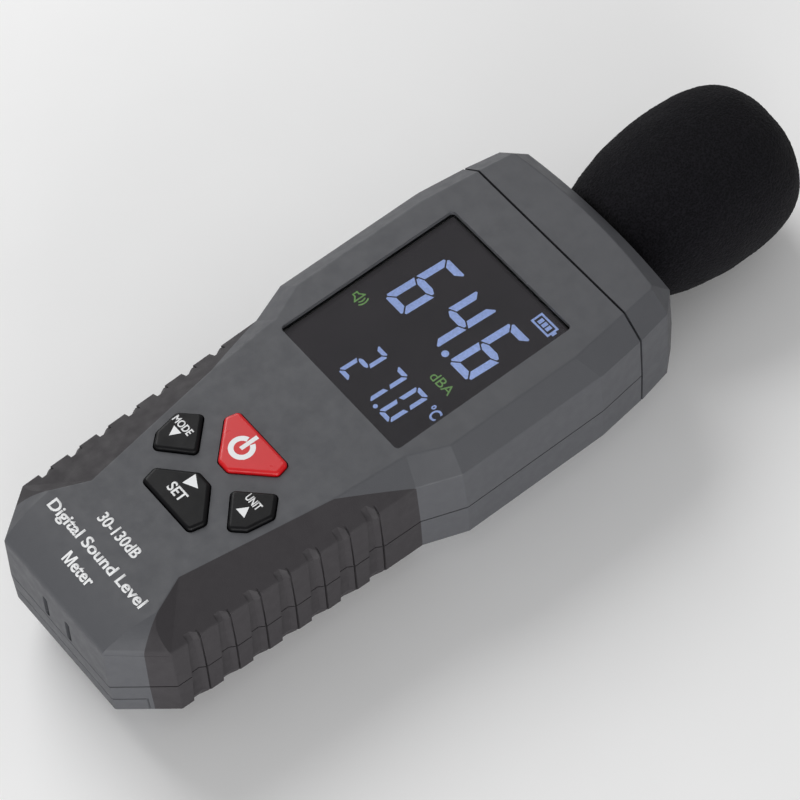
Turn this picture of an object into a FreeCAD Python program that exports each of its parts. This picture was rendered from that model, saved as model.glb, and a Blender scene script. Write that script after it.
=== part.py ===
import FreeCAD, Part
import math
import os

# Hand-held sound level meter, lying on its back: X across, Y towards the microphone, Z out of the display.
# The model is drawn with Y measured from the bottom end of the case and Z from the back plane.
# Each piece is then moved so that the origin is the middle of the footprint, on the back plane.

V = FreeCAD.Vector

# ---- driving dimensions, millimetres ----
TOTAL_LENGTH = 179.8  # bottom end of the case to the tip of the windscreen
FACE_Z = 33.7         # display face above the back plane
SEAM_Z = 17.7         # parting plane of the two case halves
SEAM_GAP = 0.3        # visible line between the halves
FOLD_Z = 29.4         # fold between side wall and front bevel
ROLL_Z = 30.2         # top of the bottom end wall
ROLL_Y = 13.0         # the face rolls down to the bottom end wall from here
ROLL_EDGE = 1.5       # rounding where the roll meets the bottom end wall
OVERLAP = 0.01        # so that a cut crosses a surface it would only touch
REAR_FOLD_Z = 8.6     # below this the rear bevel runs in to the back plane
REAR_LEAN = 0.12      # how far the rear wall leans in, from the seam down to the fold
REAR_INSET = 5.5      # how far the back plane lies inside the outline
GAP_Y = 122.2         # end of the case halves
GAP = 0.5             # line between the case and the sensor cap
CAP_Y = GAP_Y + GAP
WALL = 2.0            # case wall
EDGE_ROUND = 0.7      # rounding of the case's outer edges
SPIGOT_HALF = 17.0    # sensor cap's spigot, half width
SPIGOT_Z = (8.0, 28.5)
SPIGOT_CORNER = 4.0
CAP_ROUND = 0.5
LANYARD_X = (-3.6, 3.6)

GRIP_SIDE = 1.5       # grip thickness at the side wall
GRIP_BEVEL = 0.5      # extra grip depth taken from the bevels
RIB_PITCH = 7.0
RIB_FIRST_Y = 17.1    # upper edge of the first groove
RIB_COUNT = 7
RIB_GROOVE = 3.65     # groove width along Y, at the seam
RIB_LEAN = 0.058      # the groove's lower edge leans towards the bottom end, per millimetre of height
RIB_RAMP = 1.5
RIB_DEPTH = 0.9
RIB_SLIT = 0.35       # width of the fine slit along a groove's upper edge
RIB_SLIT_DEPTH = 0.6

WINDOW_HALF = 18.5    # half width of the display opening
WINDOW_Y = (69.0, 112.5)
WINDOW_DEPTH = 1.0    # the window lies this far below the face
LENS_LAP = 1.4        # how far the window runs under the face
LENS_THICK = 1.5
GASKET_THICK = 0.6
LCD_THICK = 2.0

PCB_TOP = 26.6
PCB_THICK = 1.6
KEY_PROUD = 0.9       # keys stand above the face
KEY_GAP = 0.25        # running gap round each key
KEY_FLANGE = 0.5
KEY_STEM_R = 3.0
KEY_ROUND = 0.7       # rounding of the key tops
DOME_FOOT_R = 4.6
MAT_THICK = 1.0
PILL_THICK = 0.4
PILL_GAP = 1.0        # contact pill above the board

MIC_AXIS_Z = 18.24    # microphone axis above the back plane
BARREL_R = 6.35       # half-inch microphone barrel
BARREL_BORE_R = 5.35
BARREL_Y = (126.0, 158.0)
FOAM_R = 17.9
FOAM_Y = 136.5        # lower face of the windscreen
FOAM_WIDEST_Y = 158.8
FOAM_NECK_R = 14.4
FOAM_BORE_R = BARREL_R + 0.25
FOAM_BLUNT = 3.2      # exponent of the rounded tip
FOAM_EDGE_R = 1.5
BOOT_R = 8.6          # rubber bush in the cap's end wall

CELL_R = 5.25         # AAA cell
CELL_LENGTH = 43.7
CELL_NUB = 0.8
CELL_PITCH = 11.0
CELL_Z = 8.0
TUB_HALF = 16.9       # battery tub, inside
TUB_Y = (13.0, 62.6)
TUB_TOP = 13.8
TUB_WALL = 1.4
DOOR_THICK = 1.8
DOOR_RECESS = 0.2     # the door lies this far inside the back plane
DOOR_LEDGE = 0.9
DOOR_GAP = 0.25
FLAP_Z = 12.65        # top of the door's flap, which wraps the bottom end
FLAP_HALF = 20.4
FLAP_DEPTH = 1.4      # flap thickness along Y
FLAP_BACKING = 2.0    # case wall behind the flap
TAB_HALF = 5.0        # tab on top of the flap
TAB_THICK = 0.5
TONGUE_X = (-5.5, 5.5)  # between the cells
TONGUE_HALF = 2.0
LEAD_X = (-14.6, 14.6)
LEAD_R = 0.65
PLATE_THICK = 0.4
SPRING_TURNS = 3
SPRING_WIRE_R = 0.35
SPRING_R = 2.6
CELL_X = (-CELL_PITCH, 0.0, CELL_PITCH)

# ---- derived from the dimensions above ----
CENTRE_Y = TOTAL_LENGTH / 2
LENS_Z = FACE_Z - WINDOW_DEPTH - LENS_THICK
GASKET_Z = LENS_Z - GASKET_THICK
LCD_Z = GASKET_Z - LCD_THICK
LCD_HALF = WINDOW_HALF + 1.1
LCD_Y = (WINDOW_Y[0] - 1.1, WINDOW_Y[1] + 1.1)
STRIP_Y = (LCD_Y[0] + 0.3, LCD_Y[0] + 2.8)
PCB_LOW = PCB_TOP - PCB_THICK
MAT_Z = PCB_TOP + MAT_THICK
PILL_Z = PCB_TOP + PILL_GAP
STEM_Z = PILL_Z + PILL_THICK
FLANGE_Z = FACE_Z - WALL - 0.1
DOME_TOP_Z = MAT_Z + 1.3

# ---- right half of the outline at each height, from the bottom end to the gap ----
SEAM_OUTLINE = [(16.3, 0.0), (24.6, 10.1), (25.6, 53.0), (25.9, 67.9), (29.3, 77.0), (29.3, 111.2),
                (27.9, GAP_Y)]
FOLD_OUTLINE = [(16.03, 0.4), (24.2, 10.3), (25.1, 53.0), (25.4, 67.9), (28.9, 76.6), (28.9, 111.0),
                (27.5, GAP_Y)]
FACE_OUTLINE = [(14.0, 20.2), (19.3, 53.0), (20.6, 69.5), (24.3, 77.5), (24.3, 108.5), (22.6, GAP_Y)]
FACE_CORNER = (17.4, 12.8)  # where the corner facet runs out on the face

# Inside of the halves: at the seam, just under the fold, and under the face.
INNER_OUTLINE = [(14.4, 2.3), (20.9, 11.2), (21.1, 20.0), (21.4, 34.0), (21.9, 50.0), (22.3, 68.6),
                 (27.0, 78.0), (27.0, 110.5), (25.7, GAP_Y - WALL)]
INNER_TOP_OUTLINE = [(13.2, 8.2), (13.8, 13.0), (12.0, 20.5), (15.6, 34.0), (16.9, 50.0), (17.8, 66.0),
                     (22.0, 78.0), (22.0, 107.5), (20.4, GAP_Y - WALL)]

# Where the right grips reach, seen from above; their borders cross the facets and bevels.
FRONT_ZONE = [(14.0, 20.2), (17.4, 12.8), (21.2, 6.0), (24.4, 0.3), (32.0, 0.3), (32.0, 67.9), (25.4, 67.9),
              (19.3, 53.0)]
REAR_ZONE = [(18.6, 9.0), (21.2, 6.0), (24.4, 0.3), (32.0, 0.3), (32.0, 67.9), (20.5, 67.9), (18.9, 18.0)]

SCREW_SPOTS = [(11.0, 8.7), (19.0, 114.5)]  # right side; the left mirrors them
PCB_SCREW_SPOTS = [(15.6, 19.0), (22.9, 98.0)]
PCB_OUTLINE = [(9.0, 13.0), (19.8, 15.5), (19.8, 66.0), (25.0, 76.0), (25.0, 107.0), (14.5, 110.0),
               (14.5, 118.0)]

# Keys: outline corners, then the centre of the stem and dome under each.
MODE_KEY = [(-5.4, 39.1), (-11.8, 45.4), (-15.5, 41.7), (-14.5, 36.0), (-11.9, 33.3)]
UNIT_KEY = [(-x, y) for x, y in reversed(MODE_KEY)]
POWER_KEY = [(7.8, 51.0), (-7.8, 51.0), (-8.5, 48.0), (-1.5, 41.1), (1.5, 41.1), (8.5, 48.0)]
SET_KEY = [(-7.4, 27.5), (7.4, 27.5), (8.2, 31.0), (1.8, 36.8), (-1.8, 36.8), (-8.2, 31.0)]
KEYS = {
    "mode": (MODE_KEY, (-11.6, 39.6)),
    "unit": (UNIT_KEY, (11.6, 39.6)),
    "power": (POWER_KEY, (0.0, 47.6)),
    "set": (SET_KEY, (0.0, 30.9)),
}


# ---- helpers ----
def both_sides(right):
    """The right half of an outline and its mirror image, as one closed ring."""
    return right + [(-x, y) for x, y in reversed(right)]


def inset(ring, distance):
    """The ring moved inwards by a distance; the far end of the case stays where it is."""
    moved = []
    count = len(ring)
    for i in range(count):
        before, here, after = V(*ring[i - 1]), V(*ring[i]), V(*ring[(i + 1) % count])
        lines = []
        for a, b in ((before, here), (here, after)):
            along = (b - a).normalize()
            at_gap = min(a.y, b.y) > GAP_Y - 0.01
            lines.append((a + V(-along.y, along.x) * (0 if at_gap else distance), along))
        (p, u), (q, w) = lines
        cross = u.x * w.y - u.y * w.x
        step = ((q.x - p.x) * w.y - (q.y - p.y) * w.x) / cross
        moved.append((p.x + u.x * step, p.y + u.y * step))
    return moved


def ring_wire(ring, z):
    return Part.makePolygon([V(x, y, z) for x, y in ring + ring[:1]])


def prism(ring, low, high):
    return Part.Face(ring_wire(ring, low)).extrude(V(0, 0, high - low))


def loft(levels):
    """A closed solid through rings of the same number of corners, given as (ring, z) pairs."""
    return Part.makeLoft([ring_wire(ring, z) for ring, z in levels], True, True)


def box(x, y, z):
    """A box from three (low, high) pairs."""
    return Part.makeBox(x[1] - x[0], y[1] - y[0], z[1] - z[0], V(x[0], y[0], z[0]))


def upright(radius, low, high, x, y):
    return Part.makeCylinder(radius, high - low, V(x, y, low))


def along_y(radius, low, high, x=0.0, z=MIC_AXIS_Z):
    return Part.makeCylinder(radius, high - low, V(x, low, z), V(0, 1, 0))


def round_uprights(shape, radius):
    """Round the edges that run along Z."""
    edges = [e for e in shape.Edges if abs(e.tangentAt(e.FirstParameter).z) > 0.999]
    return shape.makeFillet(radius, edges)


def rounded_block(x, y, z, radius):
    return round_uprights(box(x, y, z), radius)


def mirrored(shape):
    return shape.mirror(V(0, 0, 0), V(1, 0, 0))


def group(shapes):
    return Part.makeCompound(shapes)


def patch(*corners):
    """A flat face through its corners, or a straight-ruled one where four corners are not in one plane."""
    points = [V(*c) for c in corners]
    if len(points) == 4:
        a, b, c, d = points
        normal = (b - a).cross(c - a).normalize()
        if abs(normal.dot(d - a)) > 1e-6:
            return Part.makeRuledSurface(Part.makeLine(a, b), Part.makeLine(d, c))
    return Part.Face(Part.makePolygon(points + points[:1]))


def solid_from(faces):
    shell = Part.makeShell(faces)
    shell.sewShape()
    solid = Part.makeSolid(shell)
    if solid.Volume < 0:
        solid.reverse()
    return solid


# ---- case ----
def crossing(p, q, r, s):
    """Where the line through p and q meets the line through r and s, in plan."""
    ux, uy, wx, wy = q[0] - p[0], q[1] - p[1], s[0] - r[0], s[1] - r[1]
    step = ((r[0] - p[0]) * wy - (r[1] - p[1]) * wx) / (ux * wy - uy * wx)
    return (p[0] + ux * step, p[1] + uy * step)


def roll_profile():
    """Points of the rolled bottom edge as (distance in from the end wall, height), with its edge rounded."""
    drop, reach = FACE_Z - ROLL_Z, ROLL_Y - FOLD_OUTLINE[0][1]
    radius = (reach ** 2 + drop ** 2) / (2 * drop)
    centre = V(reach, FACE_Z + OVERLAP - radius)
    across = reach - ROLL_EDGE + OVERLAP
    edge_centre = V(ROLL_EDGE - OVERLAP, centre.y + math.sqrt((radius - ROLL_EDGE) ** 2 - across ** 2))
    out = (edge_centre - centre).normalize()
    half = (out + V(-1, 0)).normalize()
    return [edge_centre + V(-ROLL_EDGE, 0), edge_centre + half * ROLL_EDGE, centre + out * radius,
            centre + (out + V(0, 1)).normalize() * radius, centre + V(0, radius)]


def over_roll(start, end, sweep):
    """The room over the roll, along a plan line from the end wall inwards, swept to one side."""
    profile = roll_profile()
    run = V(*end) - V(*start)
    placed = [V(*start) + run * (p.x / profile[-1].x) + V(0, 0, p.y) for p in profile]
    low, low_mid, meet, high_mid, high = placed
    clear = V(*start) - run * 0.3
    top = FACE_Z + 3
    rim = [Part.Arc(low, low_mid, meet).toShape(), Part.Arc(meet, high_mid, high).toShape()]
    rim.append(Part.makePolygon([high, V(high.x, high.y, top), V(clear.x, clear.y, top),
                                 V(clear.x, clear.y, low.z), low]))
    return Part.Face(Part.Wire(rim)).extrude(sweep)


def front_outer():
    """Closed outer form of the front half before its bottom edge is rolled: walls, bevels and face."""
    seam = [(x, y, SEAM_Z + SEAM_GAP / 2) for x, y in SEAM_OUTLINE]
    fold = [(x, y, FOLD_Z) for x, y in FOLD_OUTLINE]
    along = (V(*seam[1]) - V(*seam[0])).normalize()
    inward = V(-along.y, along.x, 0)
    rise = (FACE_Z - seam[1][2]) / (FOLD_Z - seam[1][2])
    shift = inward * ((V(*fold[1]) - V(*seam[1])).dot(inward) * rise)
    wall = (V(*seam[0]) + shift, V(*seam[1]) + shift)
    end_y = fold[0][1] * (FACE_Z - seam[0][2]) / (ROLL_Z - seam[0][2])
    corners = [crossing(*wall, (0, end_y), (1, end_y)), crossing(*wall, FACE_OUTLINE[0], FACE_CORNER)]
    face = [(x, y, FACE_Z) for x, y in corners + FACE_OUTLINE]

    def other(point):
        return (-point[0],) + point[1:]

    right = [patch(seam[i], seam[i + 1], fold[i + 1], fold[i]) for i in range(1, 6)]
    right += [patch(fold[i], fold[i + 1], face[i + 2], face[i + 1]) for i in range(1, 6)]
    right += [patch(seam[0], seam[1], fold[1], face[1], face[0]), patch(fold[1], face[2], face[1])]
    across = [
        patch(*seam, *[other(p) for p in reversed(seam)]),
        patch(*face, *[other(p) for p in reversed(face)]),
        patch(seam[0], face[0], other(face[0]), other(seam[0])),
        patch(seam[6], fold[6], face[7], other(face[7]), other(fold[6]), other(seam[6])),
    ]
    return solid_from(right + [mirrored(f) for f in right] + across)


def rolled(form):
    """The front form with its bottom edge rolled down and the corner facets that run out on the roll."""
    start, corner = FOLD_OUTLINE[0], FOLD_OUTLINE[1]
    slope = V(corner[0] - start[0], corner[1] - start[1], FOLD_Z - ROLL_Z)
    inner_end = (FACE_CORNER[0] + (ROLL_Y - FACE_CORNER[1]) * (FACE_CORNER[0] - start[0])
                 / (FACE_CORNER[1] - start[1]), ROLL_Y)
    facet = over_roll(start, inner_end, slope * 1.6)
    facet.translate(slope * -0.3)
    roll = over_roll((-30, start[1]), (-30, ROLL_Y), V(60, 0, 0))
    return form.cut([roll, facet, mirrored(facet)])


def rear_outer():
    """Closed outer form of the rear half, down to the back plane."""
    ring = both_sides(SEAM_OUTLINE)
    return loft([(ring, SEAM_Z - SEAM_GAP / 2), (inset(ring, REAR_LEAN), REAR_FOLD_Z),
                 (inset(ring, REAR_INSET), 0.0)])


def softened(outer):
    """The case form with rounded outer edges; the back rim and the end of the fold stay crisp."""
    turn_y = FOLD_OUTLINE[-2][1] - 0.1
    chosen = []
    for edge in outer.Edges:
        ys = [v.Y for v in edge.Vertexes]
        zs = [v.Z for v in edge.Vertexes]
        on_seam = max(abs(z - SEAM_Z) for z in zs) < SEAM_GAP
        at_gap = min(ys) > GAP_Y - 0.01
        on_back = max(zs) < 0.01
        crisp = min(ys) > turn_y and max(zs) < FACE_Z - 0.01 and min(zs) > SEAM_Z - 1
        if not (on_seam or at_gap or on_back or crisp):
            chosen.append(edge)
    return outer.makeFillet(EDGE_ROUND, chosen)


def front_cavity():
    """The room inside the front half, under the face and bevels."""
    fold_z = FOLD_Z - 1.4
    ring = both_sides(INNER_OUTLINE)
    roof = both_sides(INNER_TOP_OUTLINE)
    low = prism(ring, SEAM_Z - 1, fold_z)
    return low.fuse(loft([(ring, fold_z), (roof, FACE_Z - WALL)]))


def rear_cavity():
    ring = both_sides(INNER_OUTLINE)
    levels = [(ring, SEAM_Z + 1), (ring, REAR_FOLD_Z + 0.5)]
    levels.append((inset(ring, REAR_INSET - 1.2), WALL))
    return loft(levels)


def wall_x(y):
    """Half width of the case at the seam, along the grips."""
    (x0, y0), (x1, y1) = SEAM_OUTLINE[1], SEAM_OUTLINE[3]
    return x0 + (x1 - x0) * (y - y0) / (y1 - y0)


def rib_groove(upper_y):
    """One finger groove: a leaning lower edge, a ramp up to the upper edge, and a fine slit along it."""
    wall = wall_x(upper_y)
    floor = wall - RIB_DEPTH
    section = [(floor, SEAM_Z), (floor - 0.25, REAR_FOLD_Z), (wall - 3.3, 3.4), (wall + 6, 3.4),
               (wall + 6, 34.0), (wall - 3.0, FOLD_Z + 2.2), (floor, FOLD_Z - 1.2)]

    def section_wire(y, shift, lean=0.0):
        points = [V(x + shift, y + lean * (z - SEAM_Z), z) for x, z in section]
        return Part.makePolygon(points + points[:1])

    ramp_y = upper_y - RIB_RAMP
    lower_wire = section_wire(upper_y - RIB_GROOVE, 0, RIB_LEAN)
    slot = Part.makeLoft([lower_wire, section_wire(ramp_y, 0)], True, True)
    ramp = Part.makeLoft([section_wire(ramp_y, 0), section_wire(upper_y, RIB_DEPTH + 0.05)], True, True)
    slit = Part.Face(section_wire(upper_y - RIB_SLIT, RIB_DEPTH - RIB_SLIT_DEPTH))
    return slot.fuse([ramp, slit.extrude(V(0, RIB_SLIT, 0))])


def grip_block(outer, zone, lift):
    """The room of the right grip on one half: its zone, outside the core that the grip lies on."""
    core = outer.copy()
    core.translate(V(-GRIP_SIDE, 0, lift))
    return prism(zone, -1, FACE_Z + 1).cut(core)


def make_grip(outer, block):
    """The right grip of one half: the case's outer skin inside the block, with its finger grooves."""
    skin = max(outer.common(block).Solids, key=lambda s: s.Volume)
    return skin.cut([rib_groove(RIB_FIRST_Y + RIB_PITCH * i) for i in range(RIB_COUNT)])


def pairs(spots):
    return [(s * x, y) for x, y in spots for s in (1, -1)]


def window_pocket():
    """Room for the window, its gasket and the display, cut up into the underside of the face."""
    half = WINDOW_HALF + LENS_LAP + 0.2
    lens = box((-half, half), (WINDOW_Y[0] - LENS_LAP - 0.2, WINDOW_Y[1] + LENS_LAP + 0.2),
               (PCB_TOP, FACE_Z - WINDOW_DEPTH))
    frame = box((-21.2, 21.2), (66.6, 114.9), (PCB_TOP, PCB_TOP + 2.6))
    return lens.fuse(frame)


def key_ring(name, grow):
    return inset(KEYS[name][0], -grow)


def make_front_case(outer, block):
    """Front shell with its openings, key holes, lanyard slots and screw bosses."""
    shell = outer.cut([front_cavity(), block, mirrored(block)])
    bosses = [upright(3.2, SEAM_Z + 0.4, FACE_Z - 1.8, x, y) for x, y in pairs(SCREW_SPOTS)]
    bosses += [upright(2.2, PCB_TOP, FOLD_Z + 1.6, x, y) for x, y in pairs(PCB_SCREW_SPOTS)]
    shell = shell.fuse([outer.common(b) for b in bosses])
    cuts = [window_pocket(),
            rounded_block((-WINDOW_HALF, WINDOW_HALF), WINDOW_Y, (FACE_Z - 3, FACE_Z + 1), 1.0)]
    cuts += [upright(1.1, SEAM_Z - 1, SEAM_Z + 9, x, y) for x, y in pairs(SCREW_SPOTS)]
    cuts += [upright(0.8, PCB_TOP - 1, PCB_TOP + 3.2, x, y) for x, y in pairs(PCB_SCREW_SPOTS)]
    cuts += [round_uprights(prism(key_ring(name, KEY_GAP), FACE_Z - 3, FACE_Z + 1), 1.2) for name in KEYS]
    cuts += [rounded_slot(x) for x in LANYARD_X]
    cuts.append(mouth(0.15))
    cuts.append(lip(0.1))
    return shell.cut(cuts).removeSplitter()


def rounded_slot(x):
    """One upright lanyard slot through the bottom end wall."""
    block = box((x - 0.75, x + 0.75), (-1, 4), (SEAM_Z + 0.9, SEAM_Z + 7.3))
    along = [e for e in block.Edges if abs(e.tangentAt(e.FirstParameter).y) > 0.999]
    return block.makeFillet(0.7, along)


def lip(clearance):
    """Ridge on the rear half that stands inside the front half, all round the seam."""
    outside = inset(both_sides(INNER_OUTLINE), -0.7 - clearance)
    ring = prism(outside, SEAM_Z - SEAM_GAP / 2, SEAM_Z + 1.2 + clearance)
    return ring.cut([prism(both_sides(INNER_OUTLINE), SEAM_Z - 1, SEAM_Z + 3),
                     box((-30, 30), (GAP_Y - WALL - 0.5, GAP_Y + 5), (0, 40))])


def mouth(clearance):
    """Opening in the far end walls of the halves, which the sensor cap's spigot fills."""
    heights = (SPIGOT_Z[0] - clearance, SPIGOT_Z[1] + clearance)
    return rounded_end(SPIGOT_HALF + clearance, heights, (GAP_Y - WALL - 1, GAP_Y + 1), SPIGOT_CORNER)


def rounded_end(half, heights, reach, radius):
    """A block with the edges that run along Y rounded."""
    block = box((-half, half), reach, heights)
    along = [e for e in block.Edges if abs(e.tangentAt(e.FirstParameter).y) > 0.999]
    return block.makeFillet(radius, along)


def tub_room():
    return box((-TUB_HALF, TUB_HALF), TUB_Y, (-1, TUB_TOP))


def end_skin(outer, half, top, depth):
    """The room of the bottom end's outer skin, up to a half width, a height and a depth along Y."""
    core = outer.copy()
    core.translate(V(0, depth, 0))
    return box((-half, half), (-1, TUB_Y[0] - TUB_WALL), (-1, top)).cut(core)


def flap_tab(clearance):
    """Tab on top of the door's flap, behind the edge of the rear case."""
    front = FLAP_DEPTH - TAB_THICK
    return box((-TAB_HALF - clearance, TAB_HALF + clearance), (front - clearance, FLAP_DEPTH + clearance),
               (FLAP_Z - 0.6, FLAP_Z + 1.0 + clearance))


def door_seat(grow, low, high, corner):
    """Outline of the door's plate as a block that runs out past the bottom end."""
    half = TUB_HALF + DOOR_LEDGE + grow
    return rounded_block((-half, half), (-9, TUB_Y[1] + DOOR_LEDGE + grow), (low, high), corner)


def make_rear_case(outer, block):
    """Rear shell with the battery tub, the room for the door and its flap, and the screw columns."""
    shell = outer.cut(rear_cavity())
    tub = box((-TUB_HALF - TUB_WALL, TUB_HALF + TUB_WALL), (TUB_Y[0] - TUB_WALL, TUB_Y[1] + TUB_WALL),
              (0.5, TUB_TOP + TUB_WALL))
    columns = [upright(3.2, 0.5, SEAM_Z - 0.1, x, y) for x, y in pairs(SCREW_SPOTS)]
    backing = outer.common(end_skin(outer, FLAP_HALF + 2, FLAP_Z + 1.9, FLAP_DEPTH + FLAP_BACKING))
    shell = shell.fuse([tub, backing, lip(0)] + columns)
    door_top = DOOR_RECESS + DOOR_THICK
    cuts = [block, mirrored(block), tub_room(), mouth(0.15), door_seat(0, -1, door_top, 2.0),
            end_skin(outer, FLAP_HALF + DOOR_GAP, FLAP_Z + DOOR_GAP, FLAP_DEPTH + DOOR_GAP),
            flap_tab(DOOR_GAP)]
    cuts += [box((x - TONGUE_HALF - 0.6, x + TONGUE_HALF + 0.6), (TUB_Y[1] - 1, TUB_Y[1] + 3.4), (WALL, 6.0))
             for x in TONGUE_X]
    for x, y in pairs(SCREW_SPOTS):
        cuts.append(upright(1.5, -1, SEAM_Z + 2, x, y))
        cuts.append(upright(2.8, -1, 4.0, x, y))
    cuts += [lead_hole(x) for x in LEAD_X]
    return shell.cut(cuts).removeSplitter()


def lead_hole(x):
    """Hole in the tub's upper end wall for one battery lead."""
    return along_y(LEAD_R + 0.05, TUB_Y[1] - 1, TUB_Y[1] + TUB_WALL + 1, x, 12.4)


# ---- sensor cap and microphone ----
def cap_wire(back, side, end, crown, z):
    """One level of the cap: straight sides, chamfered corners and a crowned end."""
    (x0, y0), (x1, y1), (x2, y2) = back, side, end
    corners = [V(x0, y0, z), V(x1, y1, z), V(x2, y2, z)]
    arc = Part.Arc(corners[2], V(0, y2 + crown, z), V(-x2, y2, z)).toShape()
    left = [V(-p.x, p.y, z) for p in reversed(corners)]
    run = [Part.makeLine(corners[0], corners[1]), Part.makeLine(corners[1], corners[2]), arc,
           Part.makeLine(left[0], left[1]), Part.makeLine(left[1], left[2]),
           Part.makeLine(left[2], corners[0])]
    return Part.Wire(run)


def cap_form(shrink):
    """The cap's outer form, or the same form drawn in by a wall for its hollow."""
    s = shrink
    start = CAP_Y - (1 if s else 0)
    levels = [
        cap_wire((22.4 - s, start), (20.8 - s, 127.6 - s), (18.0 - s, 130.4 - s), 1.2, s),
        cap_wire((27.75 - s, start), (26.1 - s, 130.5 - s), (22.2 - s, 134.8 - s), 1.3,
                 REAR_FOLD_Z + s * 0.3),
        cap_wire((27.85 - s, start), (26.2 - s, 130.6 - s), (22.3 - s, 134.9 - s), 1.3, SEAM_Z),
        cap_wire((27.45 - s, start), (26.0 - s, 130.5 - s), (21.9 - s, 134.6 - s), 1.3, FOLD_Z - s * 0.3),
        cap_wire((22.6 - s, start), (21.6 - s, 130.2 - s), (21.1 - s, 130.7 - s), 1.6, FACE_Z - s),
    ]
    return Part.makeLoft(levels, True, True)


def make_sensor_cap():
    outer = cap_form(0)
    rim = [e for e in outer.Edges if all(v.Z > FACE_Z - 0.01 for v in e.Vertexes)
           and max(v.Y for v in e.Vertexes) > CAP_Y + 0.01]
    outer = outer.makeFillet(CAP_ROUND, rim)
    spigot = rounded_end(SPIGOT_HALF, SPIGOT_Z, (GAP_Y - WALL, CAP_Y + 2.0), SPIGOT_CORNER)
    room = rounded_end(SPIGOT_HALF - 1.6, (SPIGOT_Z[0] + 1.6, SPIGOT_Z[1] - 1.6),
                       (GAP_Y - WALL - 1, CAP_Y + 3.0), SPIGOT_CORNER - 1)
    plate = outer.common(box((-30, 30), (CAP_Y - 1, CAP_Y + 1.5), (-1, 40)))
    shell = outer.cut(cap_form(WALL)).fuse([plate, spigot])
    return shell.cut([room, along_y(BOOT_R, 130, 140)]).removeSplitter()


def make_barrel():
    """Metal microphone barrel with a shoulder that sits inside the boot."""
    tube = along_y(BARREL_R, *BARREL_Y)
    shoulder = along_y(BARREL_R + 1.2, BARREL_Y[0], BARREL_Y[0] + 3.0)
    return tube.fuse(shoulder).cut(along_y(BARREL_BORE_R, BARREL_Y[0] - 1, BARREL_Y[1] + 1)).removeSplitter()


def make_boot():
    """Rubber bush that holds the barrel in the cap's end wall."""
    body = along_y(BOOT_R, BARREL_Y[0] + 3.0, 135.7)
    flange = along_y(BOOT_R + 1.4, BARREL_Y[0] + 3.0, 132.0)
    return body.fuse(flange).cut(along_y(BARREL_R, 120, 140)).removeSplitter()


def make_grille():
    """Perforated disc that closes the front of the barrel."""
    disc = along_y(BARREL_BORE_R, BARREL_Y[1] - 1.0, BARREL_Y[1])
    holes = [along_y(0.75, BARREL_Y[1] - 3, BARREL_Y[1] + 1)]
    for count, radius in ((6, 2.2), (12, 4.1)):
        for i in range(count):
            turn = 2 * math.pi * i / count
            holes.append(along_y(0.6, BARREL_Y[1] - 3, BARREL_Y[1] + 1,
                                 radius * math.cos(turn), MIC_AXIS_Z + radius * math.sin(turn)))
    return disc.cut(holes)


def make_windscreen():
    """Foam ball: a narrow neck that swells to a blunt rounded tip, with a blind bore for the barrel."""
    tip = TOTAL_LENGTH
    swell = [(FOAM_NECK_R + (FOAM_R - FOAM_NECK_R) * (1 - (1 - i / 8) ** 2),
              FOAM_Y + FOAM_EDGE_R + (FOAM_WIDEST_Y - FOAM_Y - FOAM_EDGE_R) * i / 8) for i in range(8)]
    nose = []
    for i in range(13):
        turn = math.radians(90 * i / 12)
        nose.append((FOAM_R * math.cos(turn) ** (2 / FOAM_BLUNT),
                     FOAM_WIDEST_Y + (tip - FOAM_WIDEST_Y) * math.sin(turn) ** (2 / FOAM_BLUNT)))
    nose[-1] = (0.0, tip)
    side = [V(r, y, MIC_AXIS_Z) for r, y in swell + nose]
    curve = Part.BSplineCurve()
    curve.interpolate(side)
    start, end = side[0], side[-1]
    foot = V(FOAM_NECK_R - FOAM_EDGE_R, FOAM_Y, MIC_AXIS_Z)
    middle = V(0, FOAM_Y, MIC_AXIS_Z)
    outline = Part.Wire([curve.toShape(), Part.makeLine(end, middle), Part.makeLine(middle, foot),
                         Part.makeLine(foot, start)])
    ball = Part.Face(outline).revolve(V(0, 0, MIC_AXIS_Z), V(0, 1, 0), 360)
    return ball.cut(along_y(FOAM_BORE_R, FOAM_Y - 1, BARREL_Y[1] + 0.6))


# ---- display ----
def plate(half, y, low, thick):
    return box((-half, half), y, (low, low + thick))


def make_display():
    lens_y = (WINDOW_Y[0] - LENS_LAP, WINDOW_Y[1] + LENS_LAP)
    lens = rounded_block((-WINDOW_HALF - LENS_LAP, WINDOW_HALF + LENS_LAP), lens_y,
                         (LENS_Z, LENS_Z + LENS_THICK), 1.0)
    gasket = plate(LCD_HALF, LCD_Y, GASKET_Z, GASKET_THICK)
    gasket = gasket.cut(plate(WINDOW_HALF, WINDOW_Y, GASKET_Z - 1, 3))
    panel = plate(LCD_HALF, LCD_Y, LCD_Z, LCD_THICK)
    frame = plate(21.0, (66.8, 114.7), PCB_TOP, 2.3)
    frame = frame.cut(plate(LCD_HALF + 0.15, (LCD_Y[0] - 0.15, LCD_Y[1] + 0.15), PCB_TOP - 1, 6))
    strip = plate(LCD_HALF - 2, STRIP_Y, PCB_TOP, LCD_Z - PCB_TOP)
    light = plate(LCD_HALF - 0.4, (STRIP_Y[1] + 0.3, LCD_Y[1] - 0.4), PCB_TOP, LCD_Z - PCB_TOP)
    return {"display_window": lens, "display_gasket": gasket, "lcd_panel": panel, "lcd_frame": frame,
            "zebra_strip": strip, "backlight_panel": light}


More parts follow.
